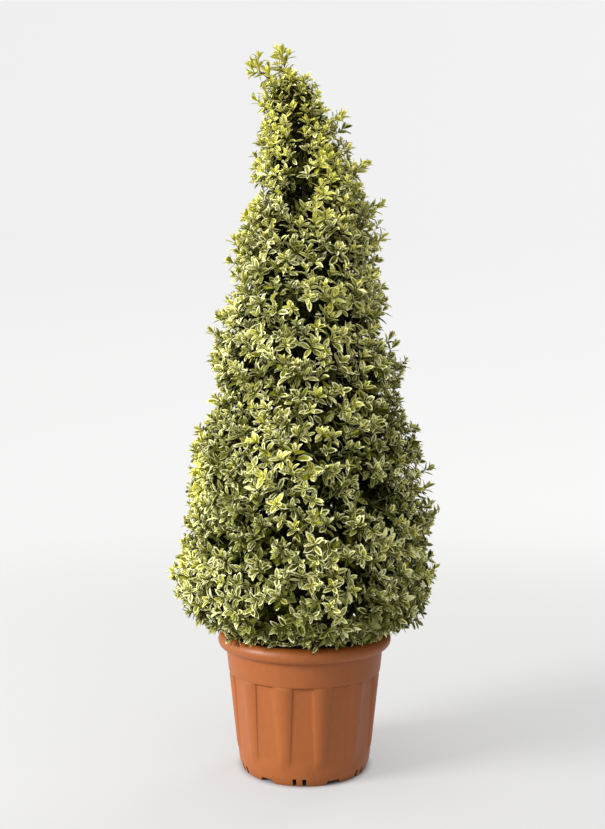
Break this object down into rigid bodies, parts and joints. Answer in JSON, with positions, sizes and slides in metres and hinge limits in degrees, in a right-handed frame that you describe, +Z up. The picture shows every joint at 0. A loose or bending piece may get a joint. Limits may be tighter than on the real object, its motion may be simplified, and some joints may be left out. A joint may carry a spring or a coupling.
{
  "type": "potted topiary shrub",
  "caption": "Variegated euonymus clipped to a tall leaning pyramid, in a round ribbed plastic pot with a rolled rim and a notched, slotted foot.",
  "frame": {"origin": "on the pot's axis, at the ground that the pot stands on", "axes": "+Z up the plant, -Y towards the viewer, +X to the viewer's right, with the leader leaning towards -X"},
  "size_m": [0.4477, 0.4492, 1.2518],
  "materials": {
    "terracotta_plastic": "satin",
    "compost": "matte",
    "bark": "matte",
    "young_leaf": "satin",
    "grown_leaf": "satin",
    "old_leaf": "matte"
  },
  "bodies": {
    "root": {"pot": "terracotta_plastic", "compost": "compost", "trunk": "bark", "foliage_skirt_1": "old_leaf", "foliage_skirt_2": "old_leaf", "foliage_skirt_3": "old_leaf", "foliage_skirt_4": "old_leaf", "foliage_lower_1": "grown_leaf", "foliage_lower_2": "grown_leaf", "foliage_lower_3": "grown_leaf", "foliage_upper_1": "grown_leaf", "foliage_upper_2": "grown_leaf", "foliage_upper_3": "grown_leaf", "foliage_shoulder_1": "young_leaf", "foliage_shoulder_2": "young_leaf", "foliage_shoulder_3": "young_leaf", "foliage_leader": "young_leaf"}
  },
  "joints": []
}
